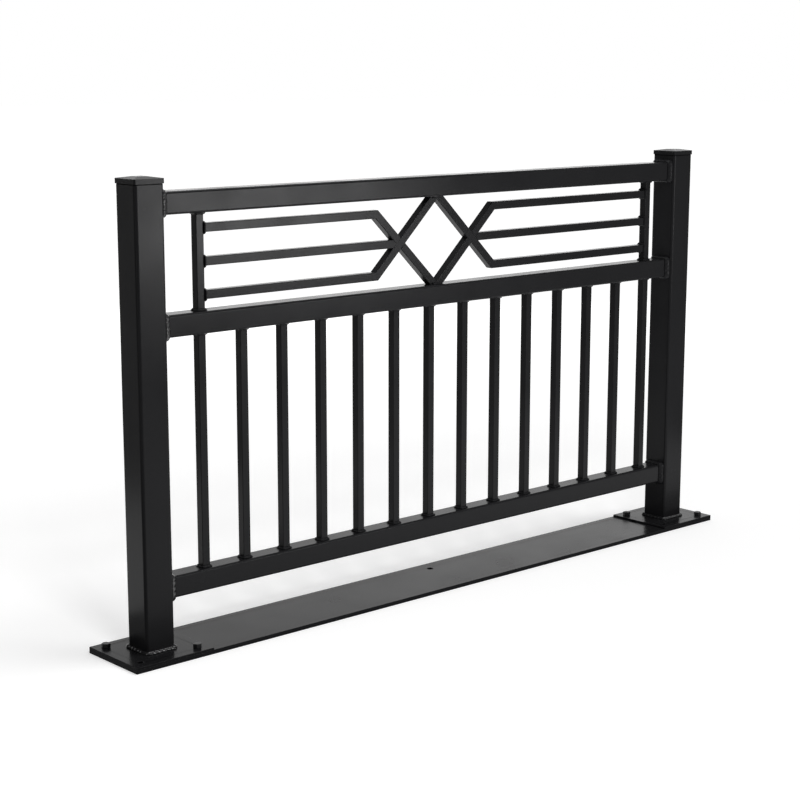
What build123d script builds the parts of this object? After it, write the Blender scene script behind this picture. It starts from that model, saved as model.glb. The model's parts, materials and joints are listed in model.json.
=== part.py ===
"""Free-standing street barrier in welded steel, built piece by piece.

Millimetres, +Z up. The origin is on the ground under the middle of the base,
+X runs along the barrier to its right end and the front faces -Y.
"""
import math
import os

from build123d import *

os.makedirs("parts", exist_ok=True)

# Base strip and foot plates
strip_depth = 190.0
strip_thickness = 10.0
foot_width = 205.0
foot_thickness = 5.0
anchor_hole_diameter = 14.0
anchor_hole_inset = 27.0
drain_hole_diameter = 16.0
drain_hole_from_back = 40.0
drain_hole_shift = 19.0

# Posts and caps
post_side = 75.0
post_wall = 3.5
post_corner_radius = 7.0
post_spacing = 1754.0
post_above_top_rail = 17.0
cap_neck_height = 2.0
cap_neck_inset = 2.0
cap_overhang = 1.0
cap_side_height = 11.0
cap_rise = 4.0
cap_flat = 24.0
cap_corner_radius = 4.0

# Rails
rail_side = 50.0
rail_wall = 3.0
rail_corner_radius = 5.0
bottom_rail_underside = 124.0
middle_rail_underside = 708.0
top_rail_height = 1024.0

# Balusters and frieze bars
bar_side = 20.0
bar_corner_radius = 1.5
baluster_count = 14
baluster_pitch = 115.0
baluster_shift = 17.5

# Crossed pattern in the frieze
crossing_half_spread = 118.0
pattern_shift = -23.0
tip_depth = 6.0
frieze_bar_share = 0.342

# Derived levels
post_foot_level = strip_thickness + foot_thickness
bottom_rail_top = bottom_rail_underside + rail_side
middle_rail_top = middle_rail_underside + rail_side
top_rail_underside = top_rail_height - rail_side
post_top_level = top_rail_height + post_above_top_rail
opening_height = top_rail_underside - middle_rail_top
opening_centre = middle_rail_top + opening_height / 2
bar_step = frieze_bar_share * opening_height
diagonal_rise = opening_height / 2 + tip_depth

# Derived positions along the barrier
post_x = post_spacing / 2
rail_half_length = post_x - post_side / 2
strip_length = post_spacing + foot_width
row_half_length = baluster_pitch * (baluster_count - 1) / 2
bend_spread = crossing_half_spread * (1 + bar_step / diagonal_rise)
anchor_x = foot_width / 2 - anchor_hole_inset
anchor_y = strip_depth / 2 - anchor_hole_inset


def keep(name, piece):
    """Write one finished piece to its own file."""
    export_step(piece, "parts/" + name + ".step")


def rounded_bar(start, end, side, radius):
    """A solid square bar with softly rounded edges along a line in the XZ plane."""
    line = Vector(*end) - Vector(*start)
    plane = Plane(origin=start, x_dir=(0, 1, 0), z_dir=line)
    return extrude(plane * RectangleRounded(side, side, radius), amount=line.length)


def tube(start, end, side, wall, radius):
    """An open square hollow section along a line in the XZ plane."""
    line = Vector(*end) - Vector(*start)
    plane = Plane(origin=start, x_dir=(0, 1, 0), z_dir=line)
    bore = side - 2 * wall
    section = RectangleRounded(side, side, radius) - RectangleRounded(bore, bore, radius - wall / 2)
    return extrude(plane * section, amount=line.length)


def trimmed(piece, point, normal):
    """Cut a piece by a plane and keep what the normal points to."""
    return split(piece, Plane(origin=point, z_dir=normal), keep=Keep.TOP)


def bored(plate, centre_x, top):
    """Drill the four anchor holes of one foot through a plate."""
    for side_x in (-1, 1):
        for side_y in (-1, 1):
            place = Location((centre_x + side_x * anchor_x, side_y * anchor_y, top / 2))
            plate -= place * Cylinder(anchor_hole_diameter / 2, 2 * top)
    return plate


def pyramid_cap():
    """A square cap with a short neck, upright sides and a shallow four-sided roof, on the XY plane."""
    side = post_side + 2 * cap_overhang
    neck_side = post_side - 2 * cap_neck_inset
    run = (side - cap_flat) / 2
    rim_place = Location((0, 0, cap_neck_height))
    cap = rim_place * extrude(RectangleRounded(side, side, cap_corner_radius), amount=cap_side_height + cap_rise)
    for turn in (0, 90, 180, 270):
        across = Vector(1, 0, 0).rotate(Axis.Z, turn)
        eaves = across * (side / 2) + Vector(0, 0, cap_neck_height + cap_side_height)
        cap = trimmed(cap, eaves, across * -cap_rise - Vector(0, 0, run))
    return cap + extrude(RectangleRounded(neck_side, neck_side, cap_corner_radius), amount=cap_neck_height)


# Base strip on the ground, drilled for both feet and near its back edge
strip = Location((0, 0, strip_thickness / 2)) * Box(strip_length, strip_depth, strip_thickness)
strip = bored(strip, -post_x, post_foot_level)
strip = bored(strip, post_x, post_foot_level)
drain_place = Location((drain_hole_shift, strip_depth / 2 - drain_hole_from_back, strip_thickness / 2))
strip -= drain_place * Cylinder(drain_hole_diameter / 2, 2 * strip_thickness)
keep("base_strip", strip)

# Foot plates, posts and caps
for name, x in (("left", -post_x), ("right", post_x)):
    foot_place = Location((x, 0, strip_thickness + foot_thickness / 2))
    foot = foot_place * Box(foot_width, strip_depth, foot_thickness)
    keep(name + "_foot_plate", bored(foot, x, post_foot_level))

    foot_point = (x, 0, post_foot_level)
    head_point = (x, 0, post_top_level)
    keep(name + "_post", tube(foot_point, head_point, post_side, post_wall, post_corner_radius))

    keep(name + "_post_cap", Location((x, 0, post_top_level)) * pyramid_cap())

# Rails between the posts
for name, underside in (
    ("bottom", bottom_rail_underside),
    ("middle", middle_rail_underside),
    ("top", top_rail_underside),
):
    level = underside + rail_side / 2
    left_end = (-rail_half_length, 0, level)
    right_end = (rail_half_length, 0, level)
    keep(name + "_rail", tube(left_end, right_end, rail_side, rail_wall, rail_corner_radius))

# Balusters between the bottom and middle rails
for index in range(baluster_count):
    x = baluster_shift + baluster_pitch * index - row_half_length
    low = (x, 0, bottom_rail_top)
    high = (x, 0, middle_rail_underside)
    keep("baluster_%02d" % (index + 1), rounded_bar(low, high, bar_side, bar_corner_radius))

# Frieze between the middle and top rails
slope = math.atan2(diagonal_rise, crossing_half_spread)
reach = 2 * bar_side
for name, hand in (("left", -1), ("right", 1)):
    outward = Vector(hand, 0, 0)
    inward = outward * -1
    rising = Vector(inward.X * math.cos(slope), 0, math.sin(slope))
    falling = Vector(inward.X * math.cos(slope), 0, -math.sin(slope))
    crossing = Vector(pattern_shift + hand * crossing_half_spread, 0, opening_centre)
    upper_bend = Vector(pattern_shift + hand * bend_spread, 0, opening_centre + bar_step)
    lower_bend = Vector(pattern_shift + hand * bend_spread, 0, opening_centre - bar_step)
    top_point = Vector(pattern_shift, 0, top_rail_underside)
    bottom_point = Vector(pattern_shift, 0, middle_rail_top)
    top_tip = Vector(pattern_shift, 0, top_rail_underside + tip_depth)
    bottom_tip = Vector(pattern_shift, 0, middle_rail_top - tip_depth)

    # End upright in line with the outermost baluster
    upright_x = baluster_shift + hand * row_half_length
    low = (upright_x, 0, middle_rail_top)
    high = (upright_x, 0, top_rail_underside)
    keep("frieze_" + name + "_upright", rounded_bar(low, high, bar_side, bar_corner_radius))

    # Level bars from the upright, the outer two mitred where the pattern turns
    bar_end = upright_x - hand * bar_side / 2
    upper = rounded_bar((bar_end, 0, upper_bend.Z), upper_bend + inward * reach, bar_side, bar_corner_radius)
    upper = trimmed(upper, upper_bend, (inward + falling) * -1)
    keep("frieze_" + name + "_upper_bar", upper)
    lower = rounded_bar((bar_end, 0, lower_bend.Z), lower_bend + inward * reach, bar_side, bar_corner_radius)
    lower = trimmed(lower, lower_bend, (inward + rising) * -1)
    keep("frieze_" + name + "_lower_bar", lower)

    # Faces of the diagonals that the other pieces butt against
    above_long = Vector(outward.X * math.sin(slope), 0, math.cos(slope))
    below_short = Vector(outward.X * math.sin(slope), 0, -math.cos(slope))
    long_face = crossing + above_long * (bar_side / 2)
    long_back = crossing - above_long * (bar_side / 2)
    short_face = crossing + below_short * (bar_side / 2)

    # Middle bar with a pointed end let into the crossing
    middle = rounded_bar((bar_end, 0, opening_centre), crossing, bar_side, bar_corner_radius)
    middle = trimmed(middle, long_face, above_long)
    middle = trimmed(middle, short_face, below_short)
    keep("frieze_" + name + "_middle_bar", middle)

    # Long diagonal from the lower bend through the crossing to the top rail
    long_bar = rounded_bar(lower_bend - rising * reach, top_tip + rising * reach, bar_side, bar_corner_radius)
    long_bar = trimmed(long_bar, lower_bend, inward + rising)
    long_bar = trimmed(long_bar, top_point, outward)
    long_bar = trimmed(long_bar, top_point, (0, 0, -1))
    keep("frieze_" + name + "_long_diagonal", long_bar)

    # Short diagonals from the upper bend to the crossing and on to the middle rail
    outer = rounded_bar(upper_bend - falling * reach, crossing, bar_side, bar_corner_radius)
    outer = trimmed(outer, upper_bend, inward + falling)
    outer = trimmed(outer, long_face, above_long)
    keep("frieze_" + name + "_outer_diagonal", outer)
    inner = rounded_bar(crossing, bottom_tip + falling * reach, bar_side, bar_corner_radius)
    inner = trimmed(inner, long_back, above_long * -1)
    inner = trimmed(inner, bottom_point, outward)
    inner = trimmed(inner, bottom_point, (0, 0, 1))
    keep("frieze_" + name + "_inner_diagonal", inner)
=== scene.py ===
"""Looks of a free-standing street barrier: coated steel, weld beads, foot bolts and the studio around it."""
import json
import math
from typing import NamedTuple

import bpy
from bpy.props import FloatProperty, FloatVectorProperty, PointerProperty
from mathutils import Matrix, Vector, noise

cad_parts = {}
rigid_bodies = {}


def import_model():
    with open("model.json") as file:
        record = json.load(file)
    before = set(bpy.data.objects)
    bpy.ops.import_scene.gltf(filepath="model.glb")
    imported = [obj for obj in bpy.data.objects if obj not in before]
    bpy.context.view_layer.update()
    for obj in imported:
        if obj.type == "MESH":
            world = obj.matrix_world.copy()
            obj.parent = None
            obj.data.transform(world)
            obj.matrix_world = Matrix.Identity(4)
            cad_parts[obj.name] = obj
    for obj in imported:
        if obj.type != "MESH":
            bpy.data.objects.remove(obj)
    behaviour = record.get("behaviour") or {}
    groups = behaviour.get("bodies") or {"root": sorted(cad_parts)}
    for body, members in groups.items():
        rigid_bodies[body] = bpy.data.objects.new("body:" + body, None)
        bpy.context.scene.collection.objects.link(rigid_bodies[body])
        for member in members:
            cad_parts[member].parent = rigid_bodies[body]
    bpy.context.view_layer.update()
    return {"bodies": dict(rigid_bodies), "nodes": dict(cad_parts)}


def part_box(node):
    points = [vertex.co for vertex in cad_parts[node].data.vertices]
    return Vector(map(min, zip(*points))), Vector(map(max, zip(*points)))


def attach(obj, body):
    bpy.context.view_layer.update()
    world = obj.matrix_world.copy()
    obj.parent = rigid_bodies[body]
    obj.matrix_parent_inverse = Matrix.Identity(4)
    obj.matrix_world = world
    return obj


bl_info = {
    "name": "Street barrier",
    "version": (1, 0, 0),
    "blender": (4, 5, 0),
    "location": "View3D > Sidebar > Barrier",
    "description": "Coats, welds and bolts a steel street barrier and sets up its studio",
    "category": "Object",
}

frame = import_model()
NODES = frame["nodes"]
BODY = next(iter(frame["bodies"]))

MM = 0.001
X_AXIS = Vector((1, 0, 0))
Y_AXIS = Vector((0, 1, 0))
Z_AXIS = Vector((0, 0, 1))
HANDS = ("left", "right")

# Names of the two materials that several operators share
COAT = "satin_black_powder_coat"
WELD = "powder_coated_weld"

# Size of the patterns in the materials, in millimetres
COAT_PATCH_MM = 140.0
# Real orange peel is about 2 mm across, too fine for the picture, so it is drawn at 6 mm
COAT_PEEL_MM = 6.0
WELD_GRAIN_MM = 3.0
BOLT_WEAR_MM = 4.0
NYLON_GRAIN_MM = 5.0

# Surface of the materials
LACQUER_IOR = 1.5
PATCH_CONTRAST = (0.3, 0.7)
PATCH_ROUGHNESS = 0.04
PEEL_DEPTH = 0.4 * MM
WELD_ROUGHNESS = (0.14, 0.24)
BOLT_ROUGHNESS = (0.3, 0.5)
BOLT_SPECULAR = 0.1
NYLON_ROUGHNESS = (0.6, 0.8)
NYLON_SPECULAR = 0.01

# Corner radii of the three square sections
POST_CORNER = 7.0 * MM
RAIL_CORNER = 5.0 * MM
BAR_CORNER = 1.5 * MM

# Width of the broken edges, and the angle from which an edge counts as sharp
PLATE_EDGE = (0.8 * MM, math.radians(40))
CAP_EDGE = (1.2 * MM, math.radians(12))
BROKEN_EDGES = {
    "base_strip": PLATE_EDGE,
    "left_foot_plate": PLATE_EDGE,
    "right_foot_plate": PLATE_EDGE,
    "left_post_cap": CAP_EDGE,
    "right_post_cap": CAP_EDGE,
}
EDGE_SEGMENTS = 3
MERGE_DISTANCE = 0.01 * MM
LARGE_FACE_WEIGHT = 100

# Rim of the insert in the gap under a cap, whose near-black is a painted shade for that gap
RIM_SETBACK = 1.2 * MM
RIM_CORNER = 4.0 * MM
RIM_STEP = 2.0 * MM
RIM_LEVELS = (0.1 * MM, 1.9 * MM)

# Form of a weld bead, the wander, bulge and lag as shares of its leg or ripple
ROOT_DEPTH = 0.3 * MM
WANDER_PER_METRE = 70.0
LEG_WANDER = 0.12
LEG_BULGE = 0.16
RIPPLE_LAG = 0.45
RIPPLE_WANDER = 0.25
BEAD_SIDES = 6
BAR_BEAD_SIDES = 4

# Ripples on rails and bars, as shares of those on the feet
RAIL_RIPPLE_HEIGHT = 0.7
BAR_RIPPLE_SPACING = 0.6
BAR_RIPPLE_HEIGHT = 0.4

# Distance between the sections of a bead
SEAM_STEP = 0.9 * MM
BAR_SEAM_STEP = 1.5 * MM
TIP_SEAM_STEP = 1.2 * MM

# Half length of a bead at a tip of the diamond, as a share of the bar's depth
TIP_BEAD_HALF = 0.75

# Form of a foot bolt, its crown as shares of the hexagon and of the head's height
HEAD_POINTS = 48
ROUND_POINTS = 32
CROWN_SHARE = 0.46
CROWN_EDGE = 0.08
CROWN_SLOPE = math.tan(math.radians(30))
WASHER_EDGE = 0.2 * MM
SHANK_END = 1.0 * MM
BACK_BOLT_TURN = math.radians(14)
FRONT_BOLT_TURN = math.radians(-9)
CREASE_ANGLE = math.radians(28)


class Lamp(NamedTuple):
    """A soft rectangular light: its place, aim, width and height in metres, and what sees it."""

    place: tuple
    target: tuple
    size: tuple
    spread: float = math.pi
    seen: bool = True
    on_floor: bool = True


LAMPS = {
    "key": Lamp((1.5, -3.1, 0.7), (-0.8, 0.0, 0.9), (1.5, 0.5), spread=math.radians(90), on_floor=False),
    "edge": Lamp((-3.3, -0.9, 0.5), (-0.9, 0.0, 0.5), (0.15, 0.9)),
    "high": Lamp((-1.5, -2.5, 3.1), (-0.1, 0.0, 0.87), (0.8, 0.5)),
    "over": Lamp((0.4, -0.3, 3.2), (0.0, 0.0, 0.6), (2.6, 1.4), seen=False, on_floor=False),
    "rim": Lamp((3.2, 4.0, 1.2), (0.0, 0.0, 0.5), (6.0, 1.8), seen=False),
    "back": Lamp((-0.6, 3.4, 0.5), (0.0, 0.0, 0.6), (2.4, 0.9), seen=False, on_floor=False),
}

# Boards of light that lie on the floor and face up, seen only by the steel: place and size
BOUNCE_BOARDS = {
    "back_bounce": ((0.5, 1.3), (2.4, 1.9)),
    "front_bounce": ((0.4, -1.2), (2.6, 1.9)),
    "left_bounce": ((-1.35, 0.75), (0.8, 1.0)),
}
BOARD_LEVEL = 0.01
BOARD_AIM = 1.0

# Overhead light
TOP_LIGHT_ANGLE = math.radians(30)
TOP_LIGHT_TURN = (math.radians(15), math.radians(25), 0)

# Floor, and the distances from its middle between which its lift to white grows
FLOOR_HALF = 40.0
LIFT_FROM = 1.3
LIFT_TO = 5.0

# Camera and white light
SENSOR_WIDTH = 36.0
WHITE = (1, 1, 1, 1)


def linear(hex_colour):
    """Turn an sRGB hex colour into linear red, green and blue."""
    channels = [int(hex_colour[i:i + 2], 16) / 255 for i in (1, 3, 5)]
    return [c / 12.92 if c <= 0.04045 else ((c + 0.055) / 1.055) ** 2.4 for c in channels]


def pattern_scale(feature_mm):
    """Texture scale that gives features of a real size, for coordinates in metres."""
    return 1000.0 / feature_mm


def middle(node):
    """Centre of a steel piece."""
    low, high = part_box(node)
    return (low + high) / 2


# Materials

def open_input(node, name):
    """The input in use of a node that has this name, or None."""
    return next((s for s in node.inputs if s.enabled and s.name.lower() == name.lower()), None)


def add_node(tree, kind, links=None, **settings):
    """Add a node, set its sockets and properties by name, and link sockets to other nodes' outputs."""
    node = tree.nodes.new(kind)
    for key, value in settings.items():
        socket = open_input(node, key.replace("_", " "))
        if socket is not None:
            socket.default_value = value
        else:
            setattr(node, key, value)
    for key, output in (links or {}).items():
        target = node.inputs[key] if isinstance(key, int) else open_input(node, key)
        tree.links.new(output, target)
    return node


def new_material(name):
    """An empty node material with its output, ready for a shader."""
    material = bpy.data.materials.new(name)
    material.use_nodes = True
    material.node_tree.nodes.clear()
    output = material.node_tree.nodes.new("ShaderNodeOutputMaterial")
    return material, material.node_tree, output


def shared(name, make, finish):
    """The material of this name, made the first time that it is asked for."""
    return bpy.data.materials.get(name) or make(finish)


def grained(name, colour, grain_mm, detail, roughness, specular):
    """A material of one colour whose roughness varies between two values in a fine grain."""
    material, tree, output = new_material(name)
    place = add_node(tree, "ShaderNodeTexCoord").outputs["Object"]
    grain = add_node(
        tree, "ShaderNodeTexNoise", {"Vector": place}, Scale=pattern_scale(grain_mm), Detail=detail)
    rough = add_node(
        tree, "ShaderNodeMapRange", {"Value": grain.outputs["Fac"]}, To_Min=roughness[0], To_Max=roughness[1])
    shader = add_node(
        tree, "ShaderNodeBsdfPrincipled", {"Roughness": rough.outputs["Result"]},
        Base_Color=(*colour, 1), IOR=LACQUER_IOR, Specular_IOR_Level=specular)
    tree.links.new(shader.outputs["BSDF"], output.inputs["Surface"])
    return material


def powder_coat(finish):
    """Satin black polyester powder coat, sprayed dry and baked.

    It flows into a faint orange peel a few millimetres across, with patches that are
    a little duller, so long faces catch the light softly and unevenly.
    """
    material, tree, output = new_material(COAT)
    place = add_node(tree, "ShaderNodeTexCoord").outputs["Object"]
    cloud = add_node(
        tree, "ShaderNodeTexNoise", {"Vector": place}, Scale=pattern_scale(COAT_PATCH_MM), Detail=4.0)
    tint = add_node(
        tree, "ShaderNodeMix", {0: cloud.outputs["Fac"]}, data_type="RGBA",
        A=(*finish.coat_colour, 1), B=(*finish.coat_patch_colour, 1))
    dull = add_node(
        tree, "ShaderNodeMapRange", {"Value": cloud.outputs["Fac"]},
        From_Min=PATCH_CONTRAST[0], From_Max=PATCH_CONTRAST[1],
        To_Min=finish.coat_roughness - PATCH_ROUGHNESS, To_Max=finish.coat_roughness + PATCH_ROUGHNESS)
    peel = add_node(
        tree, "ShaderNodeTexNoise", {"Vector": place}, Scale=pattern_scale(COAT_PEEL_MM), Detail=2.0)
    bump = add_node(
        tree, "ShaderNodeBump", {"Height": peel.outputs["Fac"]},
        Strength=finish.peel_strength, Distance=PEEL_DEPTH)
    shader = add_node(
        tree, "ShaderNodeBsdfPrincipled",
        {
            "Base Color": tint.outputs["Result"],
            "Roughness": dull.outputs["Result"],
            "Normal": bump.outputs["Normal"],
        },
        IOR=LACQUER_IOR, Specular_IOR_Level=finish.coat_specular)
    tree.links.new(shader.outputs["BSDF"], output.inputs["Surface"])
    return material


def coated_weld(finish):
    """Weld metal under the powder coat, glossier than flat faces, so each ripple catches a small light."""
    return grained(WELD, finish.coat_colour, WELD_GRAIN_MM, 3.0, WELD_ROUGHNESS, finish.weld_specular)


def black_oxide(finish):
    """Black-oxide bolt steel: dark, dense and a little oily, with an uneven soft sheen on its flats."""
    return grained(
        "black_oxide_bolt_steel", finish.bolt_colour, BOLT_WEAR_MM, 4.0, BOLT_ROUGHNESS, BOLT_SPECULAR)


def nylon_painted_gap_shade(finish):
    """Moulded black nylon of the cap's insert, matt, its near-black a painted shade for the narrow gap: a
    fine dark line under the cap.
    """
    return grained(
        "matt_black_nylon", finish.gap_shade_colour, NYLON_GRAIN_MM, 2.0, NYLON_ROUGHNESS, NYLON_SPECULAR)


def seen_by_lens(tree):
    """One for what the lens sees directly, in a reflection or through glass, and zero for other light."""
    path = add_node(tree, "ShaderNodeLightPath")
    seen = add_node(
        tree, "ShaderNodeMath", {0: path.outputs["Is Camera Ray"], 1: path.outputs["Is Glossy Ray"]},
        operation="ADD")
    clear = add_node(
        tree, "ShaderNodeMath", {0: seen.outputs["Value"], 1: path.outputs["Is Transmission Ray"]},
        operation="ADD", use_clamp=True)
    return clear.outputs["Value"]


def seamless_paper(studio):
    """Pale seamless paper. The lens sees it near white, with the barrier's soft shadow left on it."""
    material, tree, output = new_material("pale_seamless_paper")
    paper = add_node(tree, "ShaderNodeBsdfDiffuse", Color=(*studio.paper_colour, 1))
    place = add_node(tree, "ShaderNodeTexCoord").outputs["Object"]
    away = add_node(tree, "ShaderNodeVectorMath", {0: place}, operation="LENGTH")
    level = add_node(
        tree, "ShaderNodeMapRange", {"Value": away.outputs["Value"]}, interpolation_type="SMOOTHSTEP",
        From_Min=LIFT_FROM, From_Max=LIFT_TO, To_Min=studio.shadow_lift, To_Max=studio.far_lift)
    lift = add_node(tree, "ShaderNodeEmission", {"Strength": level.outputs["Result"]}, Color=WHITE)
    lifted = add_node(tree, "ShaderNodeAddShader", {0: paper.outputs["BSDF"], 1: lift.outputs["Emission"]})
    mixed = add_node(
        tree, "ShaderNodeMixShader",
        {0: seen_by_lens(tree), 1: paper.outputs["BSDF"], 2: lifted.outputs["Shader"]})
    tree.links.new(mixed.outputs["Shader"], output.inputs["Surface"])
    return material


# Meshes

def new_piece(name, points, faces, material):
    """Make one smooth-shaded mesh object that belongs to the barrier."""
    mesh = bpy.data.meshes.new(name)
    mesh.from_pydata([tuple(p) for p in points], [], faces)
    mesh.validate()
    mesh.update()
    for polygon in mesh.polygons:
        polygon.use_smooth = True
    mesh.materials.append(material)
    piece = bpy.data.objects.new(name, mesh)
    bpy.context.scene.collection.objects.link(piece)
    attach(piece, BODY)
    return piece


def square_walk(side, radius, step):
    """Points and outward normals round a square with rounded corners, anticlockwise."""
    flat = side / 2 - radius
    walk = []
    for quarter in range(4):
        turn = Matrix.Rotation(quarter * math.pi / 2, 2)
        arc_steps = max(3, math.ceil(radius * math.pi / 2 / step))
        for i in range(arc_steps):
            angle = math.pi / 2 * i / arc_steps
            normal = Vector((math.cos(angle), math.sin(angle)))
            walk.append((turn @ (Vector((flat, flat)) + normal * radius), turn @ normal))
        line_steps = max(2, math.ceil(2 * flat / step))
        for i in range(line_steps):
            along = flat - 2 * flat * i / line_steps
            walk.append((turn @ Vector((along, side / 2)), turn @ Vector((0, 1))))
    return walk


def square_seam(centre, across, along, up, side, radius, step):
    """The seam where a square section stands on a face: place, outward and upward at each step."""
    return [
        (centre + across * p.x + along * p.y, across * n.x + along * n.y, up)
        for p, n in square_walk(side, radius, step)
    ]


def straight_seam(start, end, out, up, step):
    """A straight seam between two points."""
    steps = max(2, math.ceil((end - start).length / step))
    return [(start.lerp(end, i / steps), out, up) for i in range(steps + 1)]


def bead(seam, leg, ripple_spacing, ripple_height, closed=True, sides=BEAD_SIDES, stretch=1.0):
    """A fillet weld bead along a seam: a bulged triangle in section, with overlapping ripples along it."""
    points, faces = [], []
    travelled = 0.0
    last = seam[0][0]
    for place, out, up in seam:
        travelled += (place - last).length
        last = place
        wander = noise.noise(place * WANDER_PER_METRE)
        reach = leg * (1 + LEG_WANDER * wander)
        points.append(place - (out + up) * ROOT_DEPTH)
        for i in range(sides + 1):
            share = i / sides
            bulge = math.sin(math.pi * share)
            lag = RIPPLE_LAG * (2 * share - 1) ** 2
            phase = travelled / ripple_spacing - lag + RIPPLE_WANDER * wander
            crest = math.sin(math.pi * (phase % 1.0))
            lift = LEG_BULGE * leg * bulge + ripple_height * bulge * crest
            section = out * (reach * (1 - share)) + up * (reach * stretch * share)
            section += (out * stretch + up).normalized() * lift
            points.append(place + section)
    ring = sides + 2
    count = len(seam)
    spans = count if closed else count - 1
    for j in range(spans):
        k = (j + 1) % count
        for i in range(ring):
            n = (i + 1) % ring
            faces.append((j * ring + i, j * ring + n, k * ring + n, k * ring + i))
    if not closed:
        faces.append(tuple(range(ring)))
        faces.append(tuple(reversed(range((count - 1) * ring, count * ring))))
    return points, faces


def small_bead(seam, welds, closed=True):
    """A bead for the thin bars, with smaller and closer ripples."""
    spacing = BAR_RIPPLE_SPACING * welds.ripple_spacing
    height = BAR_RIPPLE_HEIGHT * welds.ripple_height
    return bead(seam, welds.bar_leg, spacing, height, closed, BAR_BEAD_SIDES)


def bar_bead(welds, centre, across, along, up, side):
    """A small bead round the end of a square bar."""
    seam = square_seam(centre, across, along, up, side, BAR_CORNER, BAR_SEAM_STEP)
    return small_bead(seam, welds)


def joined(parts):
    """Put several point and face lists together."""
    points, faces = [], []
    for more_points, more_faces in parts:
        base = len(points)
        points.extend(more_points)
        faces.extend(tuple(base + i for i in face) for face in more_faces)
    return points, faces


def ring_stack(rings):
    """Faces that join rings of equal count from the bottom up, with both ends closed."""
    count = len(rings[0])
    points = [p for ring in rings for p in ring]
    faces = [tuple(reversed(range(count)))]
    for j in range(len(rings) - 1):
        for i in range(count):
            n = (i + 1) % count
            faces.append((j * count + i, j * count + n, (j + 1) * count + n, (j + 1) * count + i))
    faces.append(tuple(range((len(rings) - 1) * count, len(rings) * count)))
    return points, faces


def circle(centre, radius, height, count, turn=0.0):
    """A level ring of points."""
    return [
        centre + Vector((radius * math.cos(a), radius * math.sin(a), height))
        for a in (turn + 2 * math.pi * i / count for i in range(count))
    ]


def turned(centre, profile):
    """A solid of revolution about Z from radius and height pairs, bottom to top."""
    return ring_stack([circle(centre, radius, height, ROUND_POINTS) for radius, height in profile])


def hex_head(centre, across_flats, height, turn):
    """A hexagon bolt head whose top corners are cut by a shallow cone."""
    crown = CROWN_SHARE * across_flats
    sides, edge = [], []
    for i in range(HEAD_POINTS):
        angle = 2 * math.pi * i / HEAD_POINTS
        radius = across_flats / 2 / math.cos((angle % (math.pi / 3)) - math.pi / 6)
        drop = (radius - crown) * CROWN_SLOPE
        heading = Vector((math.cos(angle + turn), math.sin(angle + turn), 0))
        sides.append(centre + heading * radius)
        edge.append(centre + heading * radius + Z_AXIS * (height - drop))
    rim = circle(centre, crown, height, HEAD_POINTS, turn)
    inner = circle(centre, crown - CROWN_EDGE * height, height, HEAD_POINTS, turn)
    return ring_stack([sides, edge, rim, inner])


def hex_bolt(seat, bolts, turn):
    """A hexagon bolt: the washer face under its head, the head, and the shank down its hole."""
    face_radius = bolts.washer_face_diameter / 2
    face_top = bolts.washer_face_thickness
    shank_radius = bolts.shank_diameter / 2
    washer_face = turned(seat, [
        (face_radius, 0),
        (face_radius, face_top - WASHER_EDGE),
        (face_radius - WASHER_EDGE, face_top),
    ])
    head = hex_head(seat + Z_AXIS * face_top, bolts.across_flats, bolts.head_height, turn)
    shank = turned(seat, [(shank_radius, SHANK_END - seat.z), (shank_radius, face_top / 2)])
    return joined([washer_face, head, shank])


# Settings that a user would change

class BarrierFinish(bpy.types.PropertyGroup):
    """Colours and surface of the coating, the bolts and the cap inserts, whose near-black paints the shade
    under the caps.
    """

    coat_colour: FloatVectorProperty(
        name="Coat", description="Powder coat colour", subtype="COLOR",
        default=linear("#0f0f10"), min=0, max=1)
    coat_patch_colour: FloatVectorProperty(
        name="Coat patches", description="Colour of the duller patches of the coat", subtype="COLOR",
        default=linear("#121213"), min=0, max=1)
    coat_roughness: FloatProperty(
        name="Coat roughness", description="Mean roughness of the coat", subtype="FACTOR",
        default=0.24, min=0, max=1)
    coat_specular: FloatProperty(
        name="Coat gloss", description="Strength of the coat's reflection", subtype="FACTOR",
        default=0.026, min=0, max=1)
    weld_specular: FloatProperty(
        name="Weld gloss", description="Strength of the reflection of glossy welds", subtype="FACTOR",
        default=0.2, min=0, max=1)
    peel_strength: FloatProperty(
        name="Orange peel", description="Strength of the coat's orange peel", subtype="FACTOR",
        default=0.06, min=0, max=1)
    bolt_colour: FloatVectorProperty(
        name="Bolts", description="Colour of the foot bolts", subtype="COLOR",
        default=linear("#131314"), min=0, max=1)
    # Painted shade: this near-black stands for the shade in the gap under each cap
    gap_shade_colour: FloatVectorProperty(
        name="Cap inserts", description="Colour of the nylon under the caps", subtype="COLOR",
        default=linear("#060606"), min=0, max=1)


class BarrierWelds(bpy.types.PropertyGroup):
    """Sizes of the weld beads."""

    foot_leg: FloatProperty(
        name="Foot bead", description="Leg of the bead round a post's foot", unit="LENGTH", default=7.0 * MM)
    rail_leg: FloatProperty(
        name="Rail bead", description="Leg of the bead round a rail's end", unit="LENGTH", default=8.0 * MM)
    rail_stretch: FloatProperty(
        name="Rail bead stretch", default=1.9, min=1,
        description="How much longer the rail bead is along the rail than on the post")
    bar_leg: FloatProperty(
        name="Bar bead", description="Leg of the bead round a bar's end", unit="LENGTH", default=5.0 * MM)
    ripple_spacing: FloatProperty(
        name="Ripple spacing", description="Distance between the ripples of a bead", unit="LENGTH",
        default=12.0 * MM)
    ripple_height: FloatProperty(
        name="Ripple height", description="Height of the ripples", unit="LENGTH", default=1.5 * MM)


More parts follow.
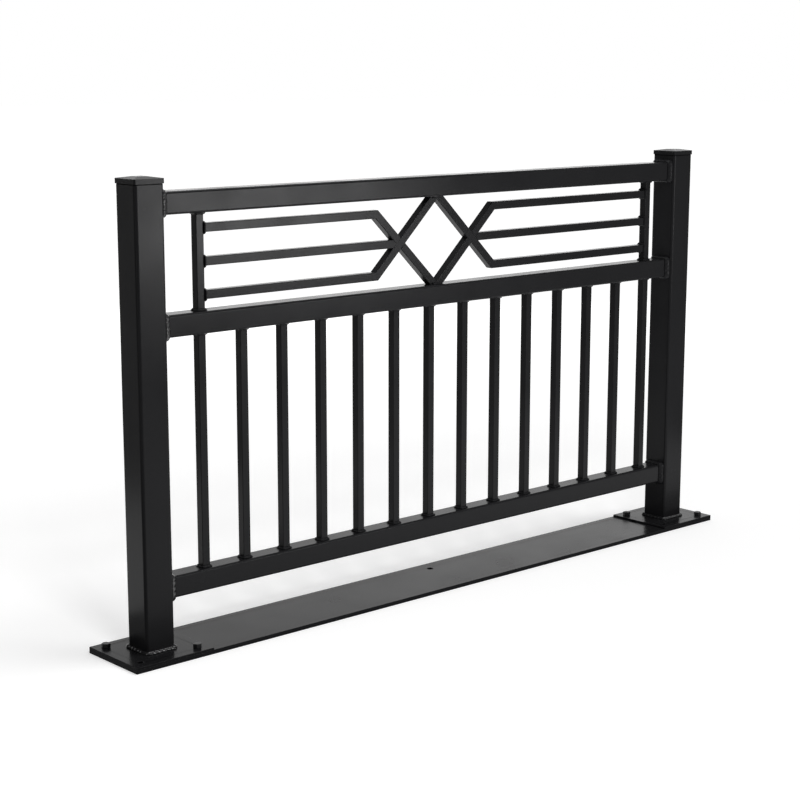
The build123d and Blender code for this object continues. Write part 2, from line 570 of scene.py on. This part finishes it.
class BarrierBolts(bpy.types.PropertyGroup):
    """Sizes of the foot bolts."""

    across_flats: FloatProperty(
        name="Across flats", description="Size of the hexagon", unit="LENGTH", default=18.0 * MM)
    head_height: FloatProperty(
        name="Head height", description="Height of the head", unit="LENGTH", default=9.0 * MM)
    shank_diameter: FloatProperty(
        name="Shank", description="Diameter of the shank", unit="LENGTH", default=12.0 * MM)
    washer_face_diameter: FloatProperty(
        name="Washer face", description="Diameter of the round face under the head", unit="LENGTH",
        default=17.0 * MM)
    washer_face_thickness: FloatProperty(
        name="Washer face thickness", description="Thickness of the round face under the head", unit="LENGTH",
        default=0.6 * MM)
    hole_inset: FloatProperty(
        name="Hole inset", description="Distance of a hole from the foot plate's edges", unit="LENGTH",
        default=27.0 * MM)


class BarrierStudio(bpy.types.PropertyGroup):
    """Camera, light and paper."""

    camera_place: FloatVectorProperty(
        name="Camera", description="Place of the camera", subtype="XYZ", unit="LENGTH",
        default=(-2.9875, -3.1798, 1.3040))
    camera_turn: FloatProperty(
        name="Turn", description="Turn of the view from square on", unit="ROTATION",
        default=math.radians(41.894))
    camera_dip: FloatProperty(
        name="Dip", description="How far the view looks down", unit="ROTATION", default=math.radians(10.911))
    camera_roll: FloatProperty(
        name="Roll", description="Roll of the camera", unit="ROTATION", default=math.radians(0.057))
    focal_length: FloatProperty(
        name="Focal length", description="Focal length for a 36 mm wide sensor", unit="CAMERA",
        default=79.866)
    ambient: FloatProperty(
        name="Ambient", description="Strength of the even light from all round", default=0.4, min=0)
    key_power: FloatProperty(
        name="Key light", description="Power of the low, wide light in front", unit="POWER", default=26.0)
    edge_power: FloatProperty(
        name="Edge light", description="Power of the tall light on the left", unit="POWER", default=6.0)
    high_power: FloatProperty(
        name="High light", description="Power of the small light high in front", unit="POWER", default=35.0)
    over_power: FloatProperty(
        name="Over light", description="Power of the soft box above the barrier", unit="POWER", default=80.0)
    rim_power: FloatProperty(
        name="Rim light", description="Power of the wide light behind the barrier", unit="POWER",
        default=36.0)
    back_power: FloatProperty(
        name="Back light", description="Power of the light on the back of the barrier", unit="POWER",
        default=40.0)
    back_bounce_power: FloatProperty(
        name="Back bounce", description="Power of the board of light on the floor behind", unit="POWER",
        default=36.0)
    front_bounce_power: FloatProperty(
        name="Front bounce", description="Power of the board of light on the floor in front", unit="POWER",
        default=48.0)
    left_bounce_power: FloatProperty(
        name="Left bounce", description="Power of the board of light on the floor by the left end",
        unit="POWER", default=7.0)
    top_strength: FloatProperty(
        name="Top light", description="Strength of the wide overhead light", default=1.0, min=0)
    paper_colour: FloatVectorProperty(
        name="Paper", description="Colour of the floor", subtype="COLOR",
        default=linear("#e6e6e6"), min=0, max=1)
    shadow_lift: FloatProperty(
        name="Shadow lift", description="How far the floor by the barrier is lifted to white",
        subtype="FACTOR", default=0.38, min=0, max=1)
    far_lift: FloatProperty(
        name="Far lift", description="How far the floor away from the barrier is lifted to white",
        subtype="FACTOR", default=0.52, min=0, max=1)


class BarrierSettings(bpy.types.PropertyGroup):
    """All settings of the barrier."""

    finish: PointerProperty(name="Finish", description="Colours and surfaces", type=BarrierFinish)
    welds: PointerProperty(name="Welds", description="Sizes of the weld beads", type=BarrierWelds)
    bolts: PointerProperty(name="Bolts", description="Sizes of the foot bolts", type=BarrierBolts)
    studio: PointerProperty(name="Studio", description="Camera, light and paper", type=BarrierStudio)


# Operators, one for each group of pieces

class BARRIER_OT_coat_steel(bpy.types.Operator):
    """Give every steel piece its powder coat and break the sharp edges of plates and caps"""

    bl_idname = "barrier.coat_steel"
    bl_label = "Coat the steel"

    def execute(self, context):
        coat = powder_coat(context.scene.barrier.finish)
        for piece in NODES.values():
            piece.data.materials.clear()
            piece.data.materials.append(coat)
        for name, (width, sharp_angle) in BROKEN_EDGES.items():
            piece = NODES[name]
            weld = piece.modifiers.new("Join faces", "WELD")
            weld.merge_threshold = MERGE_DISTANCE
            edge = piece.modifiers.new("Broken edge", "BEVEL")
            edge.width = width
            edge.segments = EDGE_SEGMENTS
            edge.limit_method = "ANGLE"
            edge.angle_limit = sharp_angle
            even = piece.modifiers.new("Even shading", "WEIGHTED_NORMAL")
            even.weight = LARGE_FACE_WEIGHT
        return {"FINISHED"}


class BARRIER_OT_close_caps(bpy.types.Operator):
    """Fill the narrow gap between each cap and its post with the dark rim of the cap's insert, a painted
    shade in that gap
    """

    bl_idname = "barrier.close_caps"
    bl_label = "Close the caps"

    def execute(self, context):
        # The near-black rim is painted shade: it darkens the gap where shade falls under the cap
        nylon = nylon_painted_gap_shade(context.scene.barrier.finish)
        for hand in HANDS:
            low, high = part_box(hand + "_post")
            centre = Vector(((low.x + high.x) / 2, (low.y + high.y) / 2, high.z))
            walk = square_walk(high.x - low.x - 2 * RIM_SETBACK, RIM_CORNER, RIM_STEP)
            rings = [[centre + Vector((p.x, p.y, level)) for p, _ in walk] for level in RIM_LEVELS]
            new_piece(hand + "_post_cap_rim", *ring_stack(rings), nylon)
        return {"FINISHED"}


class BARRIER_OT_weld_posts(bpy.types.Operator):
    """Run a fillet bead round the foot of each post"""

    bl_idname = "barrier.weld_posts"
    bl_label = "Weld the posts"

    def execute(self, context):
        finish = context.scene.barrier.finish
        welds = context.scene.barrier.welds
        glossy = shared(WELD, coated_weld, finish)
        coat = shared(COAT, powder_coat, finish)
        for hand in HANDS:
            low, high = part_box(hand + "_post")
            centre = Vector(((low.x + high.x) / 2, (low.y + high.y) / 2, low.z))
            seam = square_seam(centre, X_AXIS, Y_AXIS, Z_AXIS, high.x - low.x, POST_CORNER, SEAM_STEP)
            points, faces = bead(seam, welds.foot_leg, welds.ripple_spacing, welds.ripple_height)
            piece = new_piece(hand + "_post_foot_weld", points, faces, glossy)
            # The front run shines, and the coat lies thicker on the other three
            piece.data.materials.append(coat)
            for polygon in piece.data.polygons:
                polygon.material_index = 0 if polygon.center.y < low.y else 1
        return {"FINISHED"}


class BARRIER_OT_weld_rails(bpy.types.Operator):
    """Run a fillet bead round both ends of each rail"""

    bl_idname = "barrier.weld_rails"
    bl_label = "Weld the rails"

    def execute(self, context):
        finish = context.scene.barrier.finish
        welds = context.scene.barrier.welds
        glossy = shared(WELD, coated_weld, finish)
        coat = shared(COAT, powder_coat, finish)
        ripple_height = RAIL_RIPPLE_HEIGHT * welds.ripple_height
        for rail in ("top_rail", "middle_rail", "bottom_rail"):
            low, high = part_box(rail)
            mid = middle(rail)
            for hand, x, up, surface in (("left", low.x, X_AXIS, glossy), ("right", high.x, -X_AXIS, coat)):
                centre = Vector((x, mid.y, mid.z))
                seam = square_seam(centre, Y_AXIS, Z_AXIS, up, high.z - low.z, RAIL_CORNER, SEAM_STEP)
                points, faces = bead(
                    seam, welds.rail_leg, welds.ripple_spacing, ripple_height, stretch=welds.rail_stretch)
                new_piece(rail + "_" + hand + "_weld", points, faces, surface)
        return {"FINISHED"}


class BARRIER_OT_weld_bars(bpy.types.Operator):
    """Run small beads round the ends of the balusters and of the frieze bars"""

    bl_idname = "barrier.weld_bars"
    bl_label = "Weld the bars"

    def execute(self, context):
        welds = context.scene.barrier.welds
        coat = shared(COAT, powder_coat, context.scene.barrier.finish)
        uprights = [n for n in NODES if n.startswith("baluster") or n.endswith("upright")]
        for name in sorted(uprights):
            low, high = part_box(name)
            mid = middle(name)
            side = high.x - low.x
            foot = bar_bead(welds, Vector((mid.x, mid.y, low.z)), X_AXIS, Y_AXIS, Z_AXIS, side)
            head = bar_bead(welds, Vector((mid.x, mid.y, high.z)), X_AXIS, Y_AXIS, -Z_AXIS, side)
            new_piece(name + "_welds", *joined([foot, head]), coat)

        for hand, inward in zip(HANDS, (X_AXIS, -X_AXIS)):
            beads = []
            for level in ("upper", "middle", "lower"):
                low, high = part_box("frieze_%s_%s_bar" % (hand, level))
                end = (low + high) / 2
                end.x = low.x if hand == "left" else high.x
                beads.append(bar_bead(welds, end, Y_AXIS, Z_AXIS, inward, high.z - low.z))
            new_piece("frieze_%s_bar_welds" % hand, *joined(beads), coat)
        return {"FINISHED"}


class BARRIER_OT_weld_diamond(bpy.types.Operator):
    """Run short beads where the tips of the diamond meet the rails"""

    bl_idname = "barrier.weld_diamond"
    bl_label = "Weld the diamond"

    def execute(self, context):
        welds = context.scene.barrier.welds
        coat = shared(COAT, powder_coat, context.scene.barrier.finish)
        left_low, left_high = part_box("frieze_left_inner_diagonal")
        tip_x = left_high.x
        half = TIP_BEAD_HALF * (left_high.y - left_low.y)
        beads = []
        for level, up in ((left_low.z, Z_AXIS), (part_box("top_rail")[0].z, -Z_AXIS)):
            for y, out in ((left_low.y, -Y_AXIS), (left_high.y, Y_AXIS)):
                start = Vector((tip_x - half, y, level))
                end = Vector((tip_x + half, y, level))
                seam = straight_seam(start, end, out, up, TIP_SEAM_STEP)
                beads.append(small_bead(seam, welds, closed=False))
        new_piece("diamond_tip_welds", *joined(beads), coat)
        return {"FINISHED"}


class BARRIER_OT_bolt_feet(bpy.types.Operator):
    """Put a hexagon bolt in two opposite holes of each foot plate"""

    bl_idname = "barrier.bolt_feet"
    bl_label = "Bolt the feet"

    def execute(self, context):
        bolts = context.scene.barrier.bolts
        steel = black_oxide(context.scene.barrier.finish)
        for hand in HANDS:
            low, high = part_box(hand + "_foot_plate")
            places = {
                "back": (low.x + bolts.hole_inset, high.y - bolts.hole_inset, BACK_BOLT_TURN),
                "front": (high.x - bolts.hole_inset, low.y + bolts.hole_inset, FRONT_BOLT_TURN),
            }
            for side, (x, y, turn) in places.items():
                bolt = hex_bolt(Vector((x, y, high.z)), bolts, turn)
                piece = new_piece("%s_foot_%s_bolt" % (hand, side), *bolt, steel)
                crease = piece.modifiers.new("Crisp edges", "EDGE_SPLIT")
                crease.split_angle = CREASE_ANGLE
        return {"FINISHED"}


class BARRIER_OT_set_studio(bpy.types.Operator):
    """Lay the pale floor, hang the lights and place the camera"""

    bl_idname = "barrier.set_studio"
    bl_label = "Set the studio"

    def execute(self, context):
        scene = context.scene
        studio = scene.barrier.studio
        floor = self.lay_floor(scene, studio)
        self.fill_world(scene, studio)
        for name, lamp in LAMPS.items():
            light = self.hang_light(scene, name + "_light", lamp, getattr(studio, name + "_power"))
            if not lamp.on_floor:
                self.keep_off(light, floor)
        for name, (place, size) in BOUNCE_BOARDS.items():
            board = Lamp((*place, BOARD_LEVEL), (*place, BOARD_AIM), size, seen=False)
            self.hang_light(scene, name, board, getattr(studio, name + "_power"))
        self.hang_top_light(scene, studio.top_strength)
        self.place_camera(scene, studio)
        scene.view_settings.view_transform = "Standard"
        return {"FINISHED"}

    def lay_floor(self, scene, studio):
        """A wide level sheet under the barrier."""
        mesh = bpy.data.meshes.new("studio_floor")
        corners = [(x * FLOOR_HALF, y * FLOOR_HALF, 0) for x, y in ((-1, -1), (1, -1), (1, 1), (-1, 1))]
        mesh.from_pydata(corners, [], [(0, 1, 2, 3)])
        mesh.materials.append(seamless_paper(studio))
        floor = bpy.data.objects.new("studio_floor", mesh)
        scene.collection.objects.link(floor)
        return floor

    def fill_world(self, scene, studio):
        """White all round for the lens and for reflections, and an even light for everything else."""
        world = bpy.data.worlds.new("white_studio")
        world.use_nodes = True
        tree = world.node_tree
        tree.nodes.clear()
        even = add_node(tree, "ShaderNodeBackground", Color=WHITE, Strength=studio.ambient)
        white = add_node(tree, "ShaderNodeBackground", Color=WHITE, Strength=1.0)
        mixed = add_node(
            tree, "ShaderNodeMixShader",
            {0: seen_by_lens(tree), 1: even.outputs["Background"], 2: white.outputs["Background"]})
        add_node(tree, "ShaderNodeOutputWorld", {"Surface": mixed.outputs["Shader"]})
        scene.world = world

    def hang_light(self, scene, name, lamp, power):
        """Put up a soft light, aimed at its target."""
        data = bpy.data.lights.new(name, "AREA")
        data.shape = "RECTANGLE"
        data.size, data.size_y = lamp.size
        data.spread = lamp.spread
        data.energy = power
        light = bpy.data.objects.new(name, data)
        light.location = lamp.place
        light.rotation_euler = (Vector(lamp.target) - Vector(lamp.place)).to_track_quat("-Z", "Y").to_euler()
        light.visible_camera = lamp.seen
        scene.collection.objects.link(light)
        return light

    def keep_off(self, light, floor):
        """Keep a light off the floor, so that it adds no second shadow there."""
        receivers = bpy.data.collections.new(light.name + "_receivers")
        receivers.objects.link(floor)
        receivers.collection_objects[0].light_linking.link_state = "EXCLUDE"
        light.light_linking.receiver_collection = receivers

    def hang_top_light(self, scene, strength):
        """A very wide light from above, even over the whole floor."""
        data = bpy.data.lights.new("top_light", "SUN")
        data.energy = strength
        data.angle = TOP_LIGHT_ANGLE
        light = bpy.data.objects.new("top_light", data)
        light.rotation_euler = TOP_LIGHT_TURN
        scene.collection.objects.link(light)

    def place_camera(self, scene, studio):
        """The camera from which the barrier is seen, a little above it and to its left."""
        data = bpy.data.cameras.new("camera")
        data.sensor_width = SENSOR_WIDTH
        data.lens = studio.focal_length
        camera = bpy.data.objects.new("camera", data)
        aim = (
            Matrix.Rotation(-studio.camera_turn, 4, "Z")
            @ Matrix.Rotation(math.pi / 2 - studio.camera_dip, 4, "X")
            @ Matrix.Rotation(studio.camera_roll, 4, "Z")
        )
        camera.matrix_world = Matrix.Translation(studio.camera_place) @ aim
        scene.collection.objects.link(camera)
        scene.camera = camera


class BARRIER_PT_panel(bpy.types.Panel):
    """Sidebar panel that lists the steps"""

    bl_idname = "BARRIER_PT_panel"
    bl_label = "Street barrier"
    bl_space_type = "VIEW_3D"
    bl_region_type = "UI"
    bl_category = "Barrier"

    def draw(self, context):
        for step in STEPS:
            self.layout.operator(step.bl_idname)


STEPS = (
    BARRIER_OT_coat_steel,
    BARRIER_OT_close_caps,
    BARRIER_OT_weld_posts,
    BARRIER_OT_weld_rails,
    BARRIER_OT_weld_bars,
    BARRIER_OT_weld_diamond,
    BARRIER_OT_bolt_feet,
    BARRIER_OT_set_studio,
)
GROUPS = (BarrierFinish, BarrierWelds, BarrierBolts, BarrierStudio, BarrierSettings)


def register():
    """Register every class and the settings of the scene."""
    for cls in (*GROUPS, *STEPS, BARRIER_PT_panel):
        bpy.utils.register_class(cls)
    bpy.types.Scene.barrier = PointerProperty(type=BarrierSettings)


def unregister():
    """Undo register."""
    del bpy.types.Scene.barrier
    for cls in reversed((*GROUPS, *STEPS, BARRIER_PT_panel)):
        bpy.utils.unregister_class(cls)


def main():
    """Build the looks step by step."""
    register()
    bpy.ops.barrier.coat_steel()
    bpy.ops.barrier.close_caps()
    bpy.ops.barrier.weld_posts()
    bpy.ops.barrier.weld_rails()
    bpy.ops.barrier.weld_bars()
    bpy.ops.barrier.weld_diamond()
    bpy.ops.barrier.bolt_feet()
    bpy.ops.barrier.set_studio()


if __name__ == "__main__":
    main()
